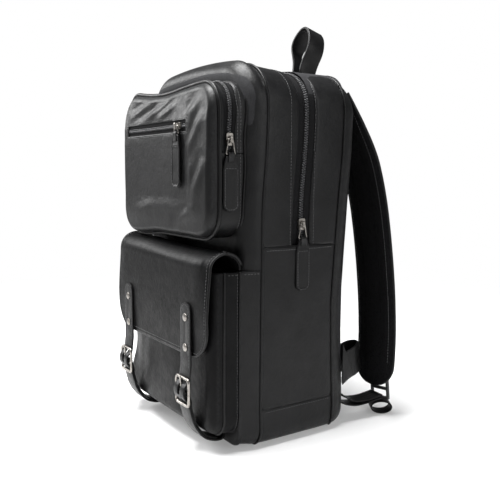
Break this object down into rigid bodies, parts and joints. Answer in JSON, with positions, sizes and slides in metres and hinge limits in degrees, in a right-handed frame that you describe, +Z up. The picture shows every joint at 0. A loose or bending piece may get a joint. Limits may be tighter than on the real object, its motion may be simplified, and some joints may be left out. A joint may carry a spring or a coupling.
{
  "type": "leather backpack",
  "caption": "Black leather backpack with a zip pocket above and a buckled flap pocket below, on padded shoulder straps.",
  "frame": {"origin": "on the floor, midway between the sides, under the front seam of the main compartment", "axes": "+X to the right of someone looking at the front, +Y from the front pockets to the shoulder straps, +Z up"},
  "size_m": [0.2962, 0.3179, 0.5423],
  "materials": {
    "body_leather": "black full-grain leather, fine pebble grain, semi-matte",
    "trim_leather": "black leather trim with painted edges",
    "lining_cloth": "black woven lining",
    "zip_tape": "black woven zip tape",
    "zip_teeth": "dark coil zip teeth",
    "pewter_metal": "warm pewter plated metal",
    "strap_webbing": "black ribbed webbing",
    "spacer_mesh": "black spacer mesh",
    "padded_strap": "black padded strap with mesh and piping",
    "black_plastic": "black moulded plastic"
  },
  "bodies": {
    "root": {"front_panel": "body_leather", "zip_gusset_front": "body_leather", "zip_gusset_back": "body_leather", "side_panels": "body_leather", "base_panel": "body_leather", "back_panel": "body_leather", "front_piping": "trim_leather", "back_piping": "trim_leather", "main_zip_tape": "zip_tape", "main_zip_teeth": "zip_teeth", "main_zip_stops": "pewter_metal", "lining": "lining_cloth", "laptop_sleeve": "lining_cloth", "slip_pocket": "body_leather", "upper_pocket_strip": "body_leather", "upper_pocket_rim": "body_leather", "upper_pocket_gusset": "body_leather", "upper_pocket_front": "body_leather", "upper_pocket_zip_tape": "zip_tape", "upper_pocket_zip_teeth": "zip_teeth", "slot_zip_tape": "zip_tape", "slot_zip_teeth": "zip_teeth", "satchel_gusset": "body_leather", "satchel_front": "body_leather", "flap_anchor": "body_leather", "snap_studs": "pewter_metal", "handle_patch": "trim_leather", "back_padding": "spacer_mesh", "strap_yoke": "trim_leather", "corner_tabs": "trim_leather", "strap_loops": "trim_leather", "webbing_left": "strap_webbing", "webbing_right": "strap_webbing"},
    "flap_assembly": {"flap": "body_leather", "buckle_strap_left": "trim_leather", "buckle_strap_right": "trim_leather", "anchor_straps": "trim_leather", "buckle_frames": "pewter_metal", "flap_rivets": "pewter_metal", "snap_caps": "pewter_metal"},
    "prong_left": {"buckle_prong_left": "pewter_metal"},
    "prong_right": {"buckle_prong_right": "pewter_metal"},
    "main_slider": {"main_zip_slider": "pewter_metal"},
    "main_ring": {"main_zip_ring": "pewter_metal"},
    "main_puller": {"main_zip_puller": "trim_leather"},
    "pocket_slider": {"pocket_zip_slider": "pewter_metal"},
    "pocket_ring": {"pocket_zip_ring": "pewter_metal"},
    "pocket_puller": {"pocket_zip_puller": "trim_leather"},
    "slot_slider": {"slot_zip_slider": "pewter_metal"},
    "slot_ring": {"slot_zip_ring": "pewter_metal"},
    "slot_puller": {"slot_zip_puller": "trim_leather"},
    "handle": {"top_handle": "trim_leather"},
    "shoulder_left": {"shoulder_strap_left": "padded_strap", "adjuster_eye_left": "strap_webbing"},
    "ladder_lock_left": {"adjuster_left": "black_plastic", "webbing_tail_left": "strap_webbing"},
    "shoulder_right": {"shoulder_strap_right": "padded_strap", "adjuster_eye_right": "strap_webbing"},
    "ladder_lock_right": {"adjuster_right": "black_plastic", "webbing_tail_right": "strap_webbing"}
  },
  "joints": [
    {"name": "flap_hinge", "type": "hinge", "parent": "root", "child": "flap_assembly", "pos_m": [0, -0.076, 0.22585], "axis": [-1, 0, 0], "range_deg": [0, 150], "stiffness_Nm_per_rad": 0.06},
    {"name": "prong_left_hinge", "type": "hinge", "parent": "flap_assembly", "child": "prong_left", "pos_m": [-0.082, -0.082, 0.075], "axis": [1, 0, 0], "range_deg": [0, 90]},
    {"name": "prong_right_hinge", "type": "hinge", "parent": "flap_assembly", "child": "prong_right", "pos_m": [0.082, -0.082, 0.075], "axis": [1, 0, 0], "range_deg": [0, 90]},
    {"name": "main_slider_slide", "type": "slide", "parent": "root", "child": "main_slider", "axis": [0, 0, 1], "range_m": [0, 0.118]},
    {"name": "main_ring_hinge", "type": "hinge", "parent": "main_slider", "child": "main_ring", "pos_m": [0.1307, 0.058, 0.271], "axis": [0, -1, 0], "range_deg": [0, 100]},
    {"name": "main_puller_hinge", "type": "hinge", "parent": "main_ring", "child": "main_puller", "pos_m": [0.1307, 0.058, 0.254], "axis": [0, -1, 0], "range_deg": [0, 80]},
    {"name": "pocket_slider_slide", "type": "slide", "parent": "root", "child": "pocket_slider", "axis": [0, 0, 1], "range_m": [0, 0.023]},
    {"name": "pocket_ring_hinge", "type": "hinge", "parent": "pocket_slider", "child": "pocket_ring", "pos_m": [0.1219, -0.04, 0.37], "axis": [0, -1, 0], "range_deg": [0, 100]},
    {"name": "pocket_puller_hinge", "type": "hinge", "parent": "pocket_ring", "child": "pocket_puller", "pos_m": [0.1219, -0.04, 0.353], "axis": [0, -1, 0], "range_deg": [0, 80]},
    {"name": "slot_slider_slide", "type": "slide", "parent": "root", "child": "slot_slider", "axis": [-1, 0, 0], "range_m": [0, 0.135]},
    {"name": "slot_ring_hinge", "type": "hinge", "parent": "slot_slider", "child": "slot_ring", "pos_m": [0.046, -0.0689, 0.388], "axis": [-1, 0, 0], "range_deg": [0, 100]},
    {"name": "slot_puller_hinge", "type": "hinge", "parent": "slot_ring", "child": "slot_puller", "pos_m": [0.046, -0.0689, 0.379], "axis": [-1, 0, 0], "range_deg": [0, 80]},
    {"name": "handle_hinge", "type": "hinge", "parent": "root", "child": "handle", "pos_m": [0, 0.154, 0.481], "axis": [1, 0, 0], "range_deg": [-50, 70], "stiffness_Nm_per_rad": 0.05},
    {"name": "shoulder_left_swing", "type": "hinge", "parent": "root", "child": "shoulder_left", "pos_m": [-0.074, 0.16917, 0.424], "axis": [0.9945, 0, -0.1045], "range_deg": [-3, 20], "stiffness_Nm_per_rad": 1.2, "deforming": ["webbing_left"]},
    {"name": "ladder_lock_left_tilt", "type": "hinge", "parent": "shoulder_left", "child": "ladder_lock_left", "pos_m": [-0.11351, 0.212, 0.04807], "axis": [0.9945, 0, -0.1045], "range_deg": [-10, 40], "deforming": ["webbing_left"]},
    {"name": "shoulder_right_swing", "type": "hinge", "parent": "root", "child": "shoulder_right", "pos_m": [0.074, 0.16917, 0.424], "axis": [0.9945, 0, 0.1045], "range_deg": [-3, 20], "stiffness_Nm_per_rad": 1.2, "deforming": ["webbing_right"]},
    {"name": "ladder_lock_right_tilt", "type": "hinge", "parent": "shoulder_right", "child": "ladder_lock_right", "pos_m": [0.11351, 0.212, 0.04807], "axis": [0.9945, 0, 0.1045], "range_deg": [-10, 40], "deforming": ["webbing_right"]}
  ]
}
